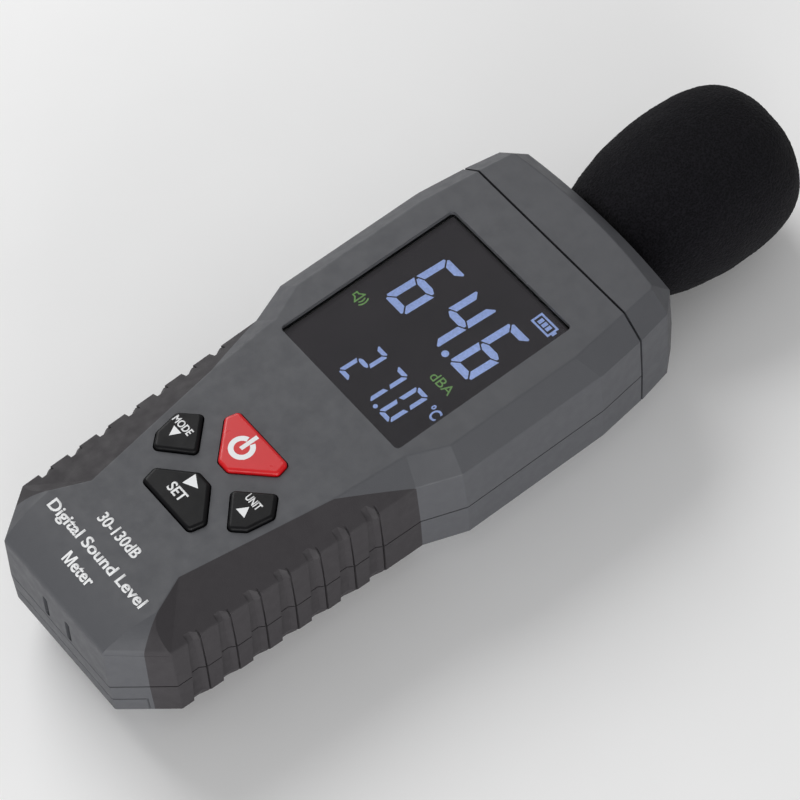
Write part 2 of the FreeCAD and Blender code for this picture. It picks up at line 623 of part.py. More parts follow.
# ---- keys ----
def make_key(name):
    """Key top with rounded edges, a flange that keeps it in the case, and the stem on its dome."""
    outline, (x, y) = KEYS[name]
    top = FACE_Z + KEY_PROUD
    cap = round_uprights(prism(outline, FLANGE_Z - 1.0, top), 1.0)
    rim = [e for e in cap.Edges if all(v.Z > top - 0.01 for v in e.Vertexes)]
    cap = cap.makeFillet(KEY_ROUND, rim)
    flange = round_uprights(prism(inset(outline, -KEY_FLANGE), FLANGE_Z - 0.8, FLANGE_Z), 1.2)
    stem = upright(KEY_STEM_R, STEM_Z, FLANGE_Z - 0.5, x, y)
    return cap.fuse([flange, stem]).removeSplitter()


def make_dome(name):
    """Thin silicone cone from the mat up to the key's stem."""
    x, y = KEYS[name][1]
    foot = V(x, y, MAT_Z)
    height = DOME_TOP_Z - MAT_Z
    outside = Part.makeCone(DOME_FOOT_R, KEY_STEM_R + 0.5, height, foot)
    inside = Part.makeCone(DOME_FOOT_R - 0.45, KEY_STEM_R + 0.05, height, foot)
    return outside.cut(inside)


def make_mat():
    mat = rounded_block((-17.5, 17.5), (24.0, 54.0), (PCB_TOP, MAT_Z), 2.0)
    centres = [centre for _, centre in KEYS.values()]
    return mat.cut([upright(DOME_FOOT_R - 0.45, PCB_TOP - 1, MAT_Z + 1, x, y) for x, y in centres])


# ---- electronics ----
def make_electronics():
    board = prism(both_sides(PCB_OUTLINE), PCB_LOW, PCB_TOP)
    board = board.cut([upright(1.1, PCB_LOW - 1, PCB_TOP + 1, x, y) for x, y in pairs(PCB_SCREW_SPOTS)])
    chip = box((-5, 5), (84, 94), (PCB_LOW - 1.3, PCB_LOW))
    amplifier = box((-3.2, 3.2), (104, 109), (PCB_LOW - 1.4, PCB_LOW))
    cans = [upright(2.0, PCB_LOW - 5.0, PCB_LOW, x, y) for x, y in ((-14, 101), (-8.5, 101), (9.5, 100))]
    sounder = upright(4.5, PCB_LOW - 4.2, PCB_LOW, 15.0, 82.0)
    sounder = sounder.cut(upright(0.9, PCB_LOW - 5, PCB_LOW - 3.4, 15.0, 82.0))
    return {"main_pcb": board, "controller_chip": chip, "amplifier_chip": amplifier,
            "capacitors": group(cans), "buzzer": sounder}


def screw(x, y, head_z, head_r, head_h, shank_r, tip_z, up):
    """A pan-head screw with a cross recess; up says which way the shank points."""
    step = 1 if up else -1
    head = upright(head_r, min(head_z, head_z + step * head_h), max(head_z, head_z + step * head_h), x, y)
    shank = upright(shank_r, min(head_z, tip_z), max(head_z, tip_z), x, y)
    depth = 0.5 * head_h
    low, high = sorted((head_z - step, head_z + step * depth))
    cross = [box((x - 0.35 * head_r * 1.6, x + 0.35 * head_r * 1.6), (y - 0.22, y + 0.22), (low, high)),
             box((x - 0.22, x + 0.22), (y - 0.35 * head_r * 1.6, y + 0.35 * head_r * 1.6), (low, high))]
    return head.fuse(shank).cut(cross).removeSplitter()


def make_screws():
    case = [screw(x, y, 2.1, 2.5, 1.9, 1.1, SEAM_Z + 7, True) for x, y in pairs(SCREW_SPOTS)]
    board = [screw(x, y, PCB_LOW - 1.3, 1.7, 1.3, 0.8, PCB_TOP + 2.9, True)
             for x, y in pairs(PCB_SCREW_SPOTS)]
    return {"case_screws": group(case), "pcb_screws": group(board)}


# ---- batteries ----
def cell_ends(index):
    """Y of the cell's flat end and of its button tip; the middle cell is turned round."""
    low, high = TUB_Y
    flat, tip = high - PLATE_THICK - CELL_NUB - CELL_LENGTH, high - PLATE_THICK
    if index == 1:
        flat, tip = low + high - flat, low + high - tip
    return flat, tip


def make_cell(index):
    flat, tip = cell_ends(index)
    way = 1 if tip > flat else -1
    can = Part.makeCylinder(CELL_R, CELL_LENGTH, V(CELL_X[index], flat, CELL_Z), V(0, way, 0))
    edges = [e for e in can.Edges if e.Closed]
    can = can.makeFillet(0.5, edges)
    nub = Part.makeCylinder(1.9, CELL_NUB + 0.2, V(CELL_X[index], tip, CELL_Z), V(0, -way, 0))
    return can.fuse(nub).removeSplitter()


def contact_plate(index, y_low):
    return box((CELL_X[index] - 4.6, CELL_X[index] + 4.6), (y_low, y_low + PLATE_THICK), (4.2, 13.2))


def make_contacts():
    """Flat plates at the button ends, and plates with coil springs at the flat ends."""
    plates, springs = [], []
    for index in range(3):
        flat, tip = cell_ends(index)
        low_end, high_end = TUB_Y[0], TUB_Y[1] - PLATE_THICK
        tip_plate, flat_plate = (low_end, high_end) if tip < flat else (high_end, low_end)
        plates.append(contact_plate(index, tip_plate))
        springs.append(contact_plate(index, flat_plate))
        springs.append(make_spring(index, flat, flat_plate))
    return {"battery_contacts": group(plates), "battery_springs": group(springs)}


def make_spring(index, flat, plate_y):
    """Coil spring between a contact plate and the flat end of a cell."""
    away = 1 if flat > plate_y else -1
    base = plate_y + PLATE_THICK if away > 0 else plate_y
    room = abs(flat - base) - 2 * SPRING_WIRE_R
    helix = Part.makeHelix(room / SPRING_TURNS, room, SPRING_R)
    section = Part.Wire([Part.makeCircle(SPRING_WIRE_R, V(SPRING_R, 0, 0), V(0, 1, 0))])
    coil = Part.Wire(helix.Edges).makePipeShell([section], True, True)
    coil.rotate(V(0, 0, 0), V(1, 0, 0), -90 * away)
    coil.translate(V(CELL_X[index], base + away * SPRING_WIRE_R, CELL_Z))
    return coil


def route_tube(points, radius):
    """A round wire along straight runs joined by tangent arcs."""
    corners = [V(*p) for p in points]
    edges = []
    last = corners[0]
    for i in range(1, len(corners) - 1):
        before = corners[i - 1] - corners[i]
        after = corners[i + 1] - corners[i]
        half_turn = (math.pi - before.getAngle(after)) / 2
        back = 0.45 * min(before.Length, after.Length)
        start = corners[i] + before.normalize() * back
        end = corners[i] + after.normalize() * back
        toward = (before + after).normalize()
        bend = back / math.tan(half_turn)
        middle = corners[i] + toward * (math.hypot(bend, back) - bend)
        edges.append(Part.makeLine(last, start))
        edges.append(Part.Arc(start, middle, end).toShape())
        last = end
    edges.append(Part.makeLine(last, corners[-1]))
    path = Part.Wire(edges)
    circle = Part.makeCircle(radius, corners[0], corners[1] - corners[0])
    return path.makePipeShell([Part.Wire([circle])], True, False)


def make_leads():
    """Battery leads from the end contacts up to the board, and the microphone's lead."""
    leads = []
    start_y = TUB_Y[1]
    for x in LEAD_X:
        route = [(x, start_y, 12.4), (x, start_y + 5.0, 12.4), (x * 0.9, start_y + 9.0, 16.5),
                 (x * 0.8, start_y + 9.5, 21.0), (x * 0.8, start_y + 9.5, PCB_LOW)]
        leads.append(route_tube(route, LEAD_R))
    mic = route_tube([(0, BARREL_Y[0] + 24.0, MIC_AXIS_Z), (0, BARREL_Y[0] + 14.0, MIC_AXIS_Z),
                      (0, BARREL_Y[0] + 3.0, MIC_AXIS_Z - 0.8), (0, 119.0, MIC_AXIS_Z + 0.5),
                      (0, 114.5, 21.0), (0, 114.5, PCB_LOW)], 0.9)
    return {"battery_leads": group(leads), "microphone_lead": mic}


def make_thermistor():
    """Bead in the sensor cap, on its own lead from the board."""
    bead = along_y(1.3, 124.0, 128.0, 12.0, 20.0)
    route = [(12.0, 124.0, 20.0), (12.0, 119.5, 20.5), (12.0, 116.5, 22.0), (12.0, 116.5, PCB_LOW)]
    lead = route_tube(route, 0.6)
    return bead.fuse(lead).removeSplitter()


def make_door(outer):
    """Battery door: plate, a flap round the bottom end with a tab on top, thumb ridges and two tongues."""
    inner_z = DOOR_RECESS + DOOR_THICK
    plate_body = door_seat(-DOOR_GAP, DOOR_RECESS, inner_z, 1.8)
    beside_grip = prism(inset(REAR_ZONE, -DOOR_GAP), -2, FLAP_Z + 1)
    below = box((-30, 30), (-2, 20), (-2, DOOR_RECESS))
    skin = end_skin(outer, FLAP_HALF, FLAP_Z, FLAP_DEPTH).cut([beside_grip, mirrored(beside_grip), below])
    tongues = []
    for x in TONGUE_X:
        width = (x - TONGUE_HALF, x + TONGUE_HALF)
        tongues.append(box(width, (TUB_Y[1] - 3.0, TUB_Y[1] + 0.5), (inner_z - 0.5, inner_z + 1.3)))
        tongues.append(box(width, (TUB_Y[1] - 3.0, TUB_Y[1] + 2.2), (inner_z + 0.15, inner_z + 1.3)))
    door = outer.common(plate_body).fuse([outer.common(skin), flap_tab(0)] + tongues)
    grooves = [box((-6, 6), (y, y + 0.8), (-1, DOOR_RECESS + 0.5)) for y in (17.0, 18.8, 20.6, 22.4)]
    return door.cut(grooves).removeSplitter()


def build_parts():
    front, rear = rolled(softened(front_outer())), softened(rear_outer())
    front_block = grip_block(front, FRONT_ZONE, -GRIP_BEVEL)
    rear_block = grip_block(rear, REAR_ZONE, GRIP_BEVEL)
    front_grip, rear_grip = make_grip(front, front_block), make_grip(rear, rear_block)
    parts = {
        "front_case": make_front_case(front, front_block),
        "rear_case": make_rear_case(rear, rear_block),
        "grip_front_right": front_grip,
        "grip_front_left": mirrored(front_grip),
        "grip_rear_right": rear_grip,
        "grip_rear_left": mirrored(rear_grip),
        "sensor_cap": make_sensor_cap(),
        "microphone_tube": make_barrel(),
        "microphone_boot": make_boot(),
        "microphone_grille": make_grille(),
        "microphone_capsule": along_y(4.85, 150.0, BARREL_Y[1] - 1.4),
        "microphone_sleeve": along_y(BARREL_BORE_R, 149.0, BARREL_Y[1] - 1.2).cut(along_y(4.85, 140, 160)),
        "windscreen": make_windscreen(),
        "temperature_sensor": make_thermistor(),
        "keypad_mat": make_mat(),
        "battery_door": make_door(rear),
    }
    parts.update(make_display())
    parts.update(make_electronics())
    parts.update(make_screws())
    parts.update(make_contacts())
    parts.update(make_leads())
    for name, (_, (x, y)) in KEYS.items():
        parts["key_" + name] = make_key(name)
        parts["dome_" + name] = make_dome(name)
        parts["pill_" + name] = upright(KEY_STEM_R - 0.4, PILL_Z, STEM_Z, x, y)
    for index in range(3):
        parts["battery_cell_%d" % (index + 1)] = make_cell(index)
    return parts


def main():
    os.makedirs("parts", exist_ok=True)
    for name, shape in sorted(build_parts().items()):
        placed = shape.copy()
        placed.translate(V(0, -CENTRE_Y, 0))
        placed.exportStep("parts/%s.step" % name)
        facts = (name, len(placed.Solids), placed.isValid(), placed.Volume)
        print("%-20s solids %d valid %s volume %.1f" % facts)


main()
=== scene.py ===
"""The looks of the sound level meter: materials, foam windscreen, display, key marks, lights and camera."""
import math

import bpy
from mathutils import Matrix, Quaternion, Vector, noise


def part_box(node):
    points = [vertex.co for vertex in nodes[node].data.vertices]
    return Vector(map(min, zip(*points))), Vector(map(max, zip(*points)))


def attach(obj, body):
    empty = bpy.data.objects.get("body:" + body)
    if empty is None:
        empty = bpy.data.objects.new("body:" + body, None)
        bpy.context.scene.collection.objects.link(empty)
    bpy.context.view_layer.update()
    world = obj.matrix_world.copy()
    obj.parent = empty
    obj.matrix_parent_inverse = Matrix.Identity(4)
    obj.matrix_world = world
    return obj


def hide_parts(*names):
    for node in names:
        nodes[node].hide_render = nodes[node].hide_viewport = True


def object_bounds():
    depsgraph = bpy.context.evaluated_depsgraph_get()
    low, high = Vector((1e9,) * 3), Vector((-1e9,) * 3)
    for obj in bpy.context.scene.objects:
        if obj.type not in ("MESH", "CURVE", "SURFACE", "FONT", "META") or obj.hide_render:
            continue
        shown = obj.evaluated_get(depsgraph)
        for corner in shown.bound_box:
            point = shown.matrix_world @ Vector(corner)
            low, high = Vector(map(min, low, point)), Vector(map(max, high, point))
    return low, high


MM = 0.001

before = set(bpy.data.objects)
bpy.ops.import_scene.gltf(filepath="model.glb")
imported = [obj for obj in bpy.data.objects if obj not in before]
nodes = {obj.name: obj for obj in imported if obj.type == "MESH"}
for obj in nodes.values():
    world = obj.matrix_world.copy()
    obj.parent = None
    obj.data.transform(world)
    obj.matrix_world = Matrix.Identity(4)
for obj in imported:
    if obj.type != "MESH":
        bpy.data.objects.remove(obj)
cad_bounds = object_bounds()


# ---- colours ----
def linear(channel):
    """One screen channel, 0 to 255, as linear light."""
    return ((channel / 255 + 0.055) / 1.055) ** 2.4 if channel > 10 else channel / 255 / 12.92


def colour(red, green, blue):
    """A colour written as it looks on a screen."""
    return (linear(red), linear(green), linear(blue), 1.0)


# ---- materials ----
class Shader:
    """A node material built around one Principled shader, patterned by the place on the part."""

    def __init__(self, name):
        self.material = bpy.data.materials.new(name)
        self.material.use_nodes = True
        self.tree = self.material.node_tree
        self.principled = self.tree.nodes["Principled BSDF"]
        self.place = self.tree.nodes.new("ShaderNodeTexCoord").outputs["Object"]

    def set(self, **values):
        for name, value in values.items():
            self.principled.inputs[name.replace("_", " ")].default_value = value

    def link(self, output, name):
        self.tree.links.new(output, self.principled.inputs[name])

    def noise(self, size_mm, detail=2.0, rough=0.5, stretch=(1, 1, 1)):
        """Noise whose features are about size_mm across."""
        mapping = self.tree.nodes.new("ShaderNodeMapping")
        mapping.inputs["Scale"].default_value = stretch
        self.tree.links.new(self.place, mapping.inputs["Vector"])
        node = self.tree.nodes.new("ShaderNodeTexNoise")
        node.inputs["Scale"].default_value = 1 / (size_mm * MM)
        node.inputs["Detail"].default_value = detail
        node.inputs["Roughness"].default_value = rough
        self.tree.links.new(mapping.outputs["Vector"], node.inputs["Vector"])
        return node.outputs["Fac"]

    def cells(self, size_mm):
        """Distance from the middle of the nearest cell, for cells about size_mm across."""
        node = self.tree.nodes.new("ShaderNodeTexVoronoi")
        node.inputs["Scale"].default_value = 1 / (size_mm * MM)
        self.tree.links.new(self.place, node.inputs["Vector"])
        return node.outputs["Distance"]

    def ramp(self, factor, low, high, start=0.3, end=0.7):
        """Blends from one value or colour to another as the factor goes from start to end."""
        node = self.tree.nodes.new("ShaderNodeMapRange" if isinstance(low, float) else "ShaderNodeValToRGB")
        if isinstance(low, float):
            for name, value in (("From Min", start), ("From Max", end), ("To Min", low), ("To Max", high)):
                node.inputs[name].default_value = value
            self.tree.links.new(factor, node.inputs["Value"])
            return node.outputs["Result"]
        first, last = node.color_ramp.elements
        first.position, first.color = start, low
        last.position, last.color = end, high
        self.tree.links.new(factor, node.inputs["Fac"])
        return node.outputs["Color"]

    def bump(self, height, depth_mm, strength=1.0, under=None):
        node = self.tree.nodes.new("ShaderNodeBump")
        node.inputs["Distance"].default_value = depth_mm * MM
        node.inputs["Strength"].default_value = strength
        self.tree.links.new(height, node.inputs["Height"])
        if under:
            self.tree.links.new(under, node.inputs["Normal"])
        return node.outputs["Normal"]


def scaled(base, factor):
    return tuple(min(1.0, c * factor) for c in base[:3]) + (1.0,)


def moulded(name, base, roughness, grain_mm=0.35, grain_depth=0.02, mottle=0.06, spread=0.08, **extra):
    """Moulded plastic or rubber: a fine spark-eroded grain, slight mottling and uneven gloss."""
    shader = Shader(name)
    shader.link(shader.ramp(shader.noise(9.0, 4.0), scaled(base, 1 - mottle), scaled(base, 1 + mottle)), "Base Color")
    shader.link(shader.ramp(shader.noise(2.5, 3.0), roughness - spread, roughness + spread), "Roughness")
    broad = shader.bump(shader.noise(14.0, 1.0), 0.03)
    shader.link(shader.bump(shader.noise(grain_mm, 3.0, 0.6), grain_depth, under=broad), "Normal")
    shader.set(**extra)
    return shader.material


def metal(name, base, roughness, brush_mm=0.2, stretch=(1, 1, 1)):
    """Plated metal with fine rolling marks."""
    shader = Shader(name)
    shader.link(shader.ramp(shader.noise(3.0, 3.0), scaled(base, 0.9), scaled(base, 1.06)), "Base Color")
    shader.link(shader.ramp(shader.noise(1.2, 3.0), roughness - 0.08, roughness + 0.1), "Roughness")
    shader.link(shader.bump(shader.noise(brush_mm, 2.0, stretch=stretch), 0.008), "Normal")
    shader.set(Metallic=1.0)
    return shader.material


def foam_material():
    """Open-cell black foam, with painted shade darkening the hollow middle of each tiny pore."""
    shader = Shader("acoustic_foam")
    pores = shader.cells(0.42)
    # painted shade: each pore is darker towards its hollow middle
    shader.link(shader.ramp(pores, colour(6, 6, 8), colour(23, 22, 26), 0.1, 0.75), "Base Color")
    shader.link(shader.ramp(shader.noise(1.5, 3.0), 0.88, 0.98), "Roughness")
    lumps = shader.bump(shader.noise(0.9, 3.0, 0.65), 0.10)
    shader.link(shader.bump(pores, 0.16, under=lumps), "Normal")
    shader.set(Specular_IOR_Level=0.06, Sheen_Weight=0.03, Sheen_Roughness=0.6)
    return shader.material


def window_material():
    """Clear smoked acrylic, polished, with very faint waviness."""
    shader = Shader("smoked_acrylic")
    shader.link(shader.ramp(shader.noise(12.0, 2.0), colour(214, 214, 220), colour(224, 224, 228)), "Base Color")
    shader.link(shader.ramp(shader.noise(6.0, 2.0), 0.002, 0.008), "Roughness")
    shader.link(shader.bump(shader.noise(20.0, 1.0), 0.004), "Normal")
    shader.set(Transmission_Weight=1.0, IOR=1.49)
    return shader.material


def glowing(name, base, strength, mottle=0.12):
    """A lit display segment: colour from the backlight, slightly uneven."""
    shader = Shader(name)
    shade = shader.ramp(shader.noise(0.5, 2.0), scaled(base, 1 - mottle), scaled(base, 1 + mottle))
    shader.link(shade, "Base Color")
    shader.link(shade, "Emission Color")
    shader.set(Emission_Strength=strength, Roughness=0.5)
    return shader.material


def panel_material():
    """The dark negative display behind the window; its colour is painted in as a faint glow, standing in for the room
    light that the window keeps from it.
    """
    shader = Shader("display_dark")
    painted_glow = shader.ramp(shader.noise(18.0, 2.0), colour(24, 22, 25), colour(32, 29, 32))
    shader.link(shader.ramp(shader.noise(18.0, 2.0), colour(5, 5, 6), colour(8, 7, 8)), "Base Color")
    # painted light: the panel glows to stand in for the room light it would get through the window
    shader.link(painted_glow, "Emission Color")
    shader.link(shader.ramp(shader.noise(4.0, 2.0), 0.5, 0.6), "Roughness")
    shader.set(Emission_Strength=1.4, Specular_IOR_Level=0.0)
    return shader.material


CASE = moulded("case_plastic", colour(76, 77, 81), 0.6, grain_mm=0.3, grain_depth=0.018, mottle=0.025)
CAP = moulded("cap_plastic", colour(76, 77, 81), 0.6, grain_mm=0.3, grain_depth=0.018, mottle=0.025)
GRIP = moulded("grip_rubber", colour(47, 44, 47), 0.72, grain_mm=0.28, grain_depth=0.03, mottle=0.03)
BLACK_KEY = moulded("key_plastic_black", colour(11, 11, 13), 0.42, grain_mm=0.4, grain_depth=0.006, mottle=0.05,
                    Specular_IOR_Level=0.18)
RED_KEY = moulded("key_plastic_red", colour(206, 16, 24), 0.34, grain_mm=0.4, grain_depth=0.006, mottle=0.04)
SILICONE = moulded("silicone_rubber", colour(150, 150, 152), 0.6, grain_depth=0.01)
BLACK_RUBBER = moulded("black_rubber", colour(32, 32, 33), 0.75, grain_depth=0.015)
STEEL = metal("plated_steel", colour(190, 190, 192), 0.3, stretch=(1, 6, 1))
PRINT = moulded("white_print", colour(236, 237, 238), 0.5, grain_mm=0.2, grain_depth=0.004, mottle=0.03)

LOOKS = {
    "front_case": CASE,
    "rear_case": CASE,
    "battery_door": CASE,
    "sensor_cap": CAP,
    "grip_front_left": GRIP,
    "grip_front_right": GRIP,
    "grip_rear_left": GRIP,
    "grip_rear_right": GRIP,
    "key_mode": BLACK_KEY,
    "key_set": BLACK_KEY,
    "key_unit": BLACK_KEY,
    "key_power": RED_KEY,
    "display_window": window_material(),
    "display_gasket": BLACK_RUBBER,
    "lcd_panel": panel_material(),
    "lcd_frame": moulded("frame_plastic", colour(30, 30, 32), 0.5),
    "backlight_panel": moulded("light_guide", colour(225, 232, 240), 0.3, grain_depth=0.004),
    "zebra_strip": moulded("zebra_rubber", colour(70, 60, 62), 0.7),
    "keypad_mat": SILICONE,
    "main_pcb": moulded("circuit_board", colour(24, 78, 48), 0.4, grain_mm=1.2, grain_depth=0.01),
    "controller_chip": moulded("chip_epoxy", colour(28, 28, 30), 0.55),
    "amplifier_chip": moulded("amplifier_epoxy", colour(28, 28, 30), 0.55),
    "capacitors": moulded("capacitor_sleeve", colour(40, 44, 62), 0.35),
    "buzzer": moulded("buzzer_shell", colour(26, 26, 28), 0.45),
    "temperature_sensor": moulded("thermistor_epoxy", colour(44, 40, 40), 0.4),
    "pcb_screws": STEEL,
    "case_screws": STEEL,
    "battery_springs": STEEL,
    "battery_contacts": STEEL,
    "battery_leads": moulded("lead_sleeve", colour(150, 36, 34), 0.45, grain_depth=0.006),
    "microphone_lead": moulded("signal_sleeve", colour(60, 62, 66), 0.45, grain_depth=0.006),
    "microphone_tube": metal("barrel_steel", colour(176, 177, 180), 0.26, stretch=(1, 8, 1)),
    "microphone_capsule": metal("capsule_steel", colour(186, 184, 178), 0.3),
    "microphone_grille": metal("grille_steel", colour(150, 150, 152), 0.35),
    "microphone_sleeve": BLACK_RUBBER,
    "microphone_boot": BLACK_RUBBER,
}
for name in nodes:
    if name.startswith("battery_cell"):
        LOOKS[name] = moulded("cell_wrapper", colour(60, 84, 120), 0.3, grain_depth=0.003)
    if name.startswith(("dome_", "pill_")):
        LOOKS[name] = SILICONE if name.startswith("dome_") else BLACK_RUBBER
for name, look in LOOKS.items():
    for slot in nodes[name].material_slots:
        slot.material = look


# ---- pieces ----
def add_mesh(name, vertices, faces, material, body, smooth=False):
    mesh = bpy.data.meshes.new(name)
    mesh.from_pydata(vertices, [], faces)
    mesh.validate()
    mesh.update()
    piece = bpy.data.objects.new(name, mesh)
    bpy.context.scene.collection.objects.link(piece)
    mesh.materials.append(material)
    for face in mesh.polygons:
        face.use_smooth = smooth
    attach(piece, body)
    return piece


def plates(name, outlines, low, thick, material, body):
    """Flat printed or etched shapes as one piece: each outline becomes a thin closed plate."""
    level = low if callable(low) else lambda y: low
    vertices = []
    faces = []
    for outline in outlines:
        count = len(outline)
        first = len(vertices)
        vertices += [(x, y, level(y)) for x, y in outline] + [(x, y, level(y) + thick) for x, y in outline]
        faces.append([first + i for i in reversed(range(count))])
        faces.append([first + count + i for i in range(count)])
        faces += [[first + i, first + (i + 1) % count, first + count + (i + 1) % count, first + count + i]
                  for i in range(count)]
    return add_mesh(name, vertices, faces, material, body)


def lettering(name, text, size, centre, low, thick, material, body, bold=0.0, width=None):
    """A line of print, centred on a point and stretched to a width; low is a height or a rule for it along Y."""
    level = low if callable(low) else lambda y: low
    curve = bpy.data.curves.new(name, "FONT")
    curve.body = text
    curve.size = size / MM      # the outline is made large, because its fill merges points that are too close
    curve.offset = bold / MM
    curve.align_x = "CENTER"
    curve.align_y = "CENTER"
    maker = bpy.data.objects.new(name, curve)
    bpy.context.scene.collection.objects.link(maker)
    bpy.context.view_layer.update()
    flat = bpy.data.meshes.new_from_object(maker)
    bpy.data.objects.remove(maker)
    flat.transform(Matrix.Scale(MM, 4))
    xs = [v.co.x for v in flat.vertices]
    ys = [v.co.y for v in flat.vertices]
    middle = Vector(((min(xs) + max(xs)) / 2, (min(ys) + max(ys)) / 2, 0))
    stretch = width / (max(xs) - min(xs)) if width else 1.0
    for vertex in flat.vertices:
        moved = vertex.co - middle
        y = centre[1] + moved.y
        vertex.co = Vector((centre[0] + moved.x * stretch, y, level(y)))
    piece = bpy.data.objects.new(name, flat)
    bpy.context.scene.collection.objects.link(piece)
    flat.materials.clear()
    flat.materials.append(material)
    solid = piece.modifiers.new("thickness", "SOLIDIFY")
    solid.thickness = thick
    solid.offset = 1.0
    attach(piece, body)
    return piece


# ---- foam windscreen ----
FOAM_LIP = 2.2 * MM         # rounding of the foam's lower edge
FOAM_NECK = 0.775           # neck radius as a share of the widest
FOAM_WIDEST = 0.515         # where it is widest, as a share of its length
FOAM_BLUNT = 3.2            # power of the superellipse from the widest place to the tip
FOAM_BORE = 6.55 * MM
FOAM_BORE_TOP = 158.6 * MM  # from the bottom end of the case
FOAM_AROUND = 420           # points in each ring
FOAM_STEP = 0.28 * MM       # between rings
FOAM_SINK = 0.10            # millimetres that the skin is drawn in before the lumps raise it
FOAM_RELIEF = ((0.22, 0.16), (1.6, 0.09), (2.9, 0.05))      # features per millimetre, and height in millimetres


def foam_profile():
    """Radius and distance along the axis, from the bore's closed end round the lip to the tip."""
    low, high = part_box("windscreen")
    centre = (low + high) / 2
    radius = (high.x - low.x) / 2
    length = high.y - low.y
    widest = low.y + FOAM_WIDEST * length
    neck = FOAM_NECK * radius
    bore_top = FOAM_BORE_TOP + low_end
    outline = [(0.0, bore_top), (FOAM_BORE * 0.5, bore_top), (FOAM_BORE, bore_top)]
    outline += [(FOAM_BORE, bore_top + (low.y - bore_top) * i / 24) for i in range(1, 25)]
    outline += [(FOAM_BORE + (neck - FOAM_LIP - FOAM_BORE) * i / 6, low.y) for i in range(1, 7)]
    for i in range(1, 10):
        turn = math.pi / 2 * i / 9
        outline.append((neck - FOAM_LIP + FOAM_LIP * math.sin(turn), low.y + FOAM_LIP * (1 - math.cos(turn))))
    start = low.y + FOAM_LIP
    for i in range(1, 61):
        s = i / 60
        outline.append((neck + (radius - neck) * (1 - (1 - s) ** 2), start + (widest - start) * s))
    for i in range(1, 97):
        turn = math.pi / 2 * i / 96
        outline.append((radius * math.cos(turn) ** (2 / FOAM_BLUNT),
                        widest + (high.y - widest) * math.sin(turn) ** (2 / FOAM_BLUNT)))
    outline[-1] = (0.0, high.y)
    return outline, centre


def resample(outline, step):
    """The same line with points an even step apart."""
    points = [Vector(p) for p in outline]
    even = [points[0]]
    for a, b in zip(points, points[1:]):
        while (b - even[-1]).length > step and (b - a).length > 0:
            along = (b - even[-1]).normalized()
            even.append(even[-1] + along * step)
    even.append(points[-1])
    return even


def make_foam():
    outline, centre = foam_profile()
    even = resample(outline, FOAM_STEP)
    vertices = []
    for radius, y in even[1:-1]:
        for i in range(FOAM_AROUND):
            turn = 2 * math.pi * i / FOAM_AROUND
            vertices.append(Vector((radius * math.cos(turn), y, radius * math.sin(turn))))
    faces = []
    rows = len(even) - 2
    for row in range(rows - 1):
        for i in range(FOAM_AROUND):
            j = (i + 1) % FOAM_AROUND
            faces.append([row * FOAM_AROUND + i, row * FOAM_AROUND + j,
                          (row + 1) * FOAM_AROUND + j, (row + 1) * FOAM_AROUND + i])
    bottom = len(vertices)
    vertices.append(Vector((0, even[0].y, 0)))
    vertices.append(Vector((0, even[-1].y, 0)))
    for i in range(FOAM_AROUND):
        j = (i + 1) % FOAM_AROUND
        faces.append([bottom, j, i])
        faces.append([bottom + 1, (rows - 1) * FOAM_AROUND + i, (rows - 1) * FOAM_AROUND + j])
    foam = add_mesh("foam_windscreen", [v + Vector((centre.x, 0, centre.z)) for v in vertices], faces,
                    foam_material(), "foam_ball", smooth=True)
    mesh = foam.data
    moved = []
    for vertex in mesh.vertices:
        at = vertex.co / MM
        raised = sum(noise.noise(at * rate) * height for rate, height in FOAM_RELIEF)
        moved.append(vertex.co + vertex.normal * (raised - FOAM_SINK) * MM)
    for vertex, place in zip(mesh.vertices, moved):
        vertex.co = place
    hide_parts("windscreen")
    return foam


low_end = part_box("front_case")[0].y
make_foam()

# ---- display ----
INK_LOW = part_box("lcd_panel")[1].z + 0.01 * MM
INK_THICK = 0.03 * MM

# Segments lit for each figure, named as on a data sheet: a top, then clockwise to f, and g across the middle.
FIGURES = {"0": "abcdef", "2": "abdeg", "4": "bcfg", "6": "acdefg", "7": "abc"}
SEGMENT_JOINT = 0.32        # dark line between two segments
SEGMENT_TIP = 0.28          # cut off each sharp tip, as a share of the stroke


def drawn_in(outline, distance):
    """An anticlockwise convex outline with every side moved inwards."""
    moved = []
    for i, here in enumerate(outline):
        before, after = outline[i - 1], outline[(i + 1) % len(outline)]
        u, w = (here - before).normalized(), (after - here).normalized()
        p, q = here + Vector((-u.y, u.x)) * distance, here + Vector((-w.y, w.x)) * distance
        step = ((q.x - p.x) * w.y - (q.y - p.y) * w.x) / (u.x * w.y - u.y * w.x)
        moved.append(p + u * step)
    return moved


def blunted(outline, cut):
    """An outline with each sharp corner replaced by a short flat."""
    corners = []
    for i, here in enumerate(outline):
        before, after = outline[i - 1] - here, outline[(i + 1) % len(outline)] - here
        if before.angle(after) < math.radians(60):
            corners += [here + before.normalized() * cut, here + after.normalized() * cut]
        else:
            corners.append(here)
    return corners


def segment_shapes(lit, width, height, stroke):
    """The lit bars of one figure, upright, with its lower left corner at the origin."""
    middle, half = height / 2, stroke / 2
    far, top = width - stroke, height - stroke
    bars = {
        "a": [(stroke, top), (far, top), (width, height), (0, height)],
        "b": [(far, middle + half), (width, middle), (width, height), (far, top)],
        "c": [(far, stroke), (width, 0), (width, middle), (far, middle - half)],
        "d": [(0, 0), (width, 0), (far, stroke), (stroke, stroke)],
        "e": [(0, 0), (stroke, stroke), (stroke, middle - half), (0, middle)],
        "f": [(0, middle), (stroke, middle + half), (stroke, top), (0, height)],
        "g": [(0, middle), (stroke, middle - half), (far, middle - half), (width, middle), (far, middle + half),
              (stroke, middle + half)],
    }
    drawn = [drawn_in([Vector(corner) for corner in bars[letter]], SEGMENT_JOINT / 2) for letter in lit]
    return [blunted(outline, stroke * SEGMENT_TIP) for outline in drawn]


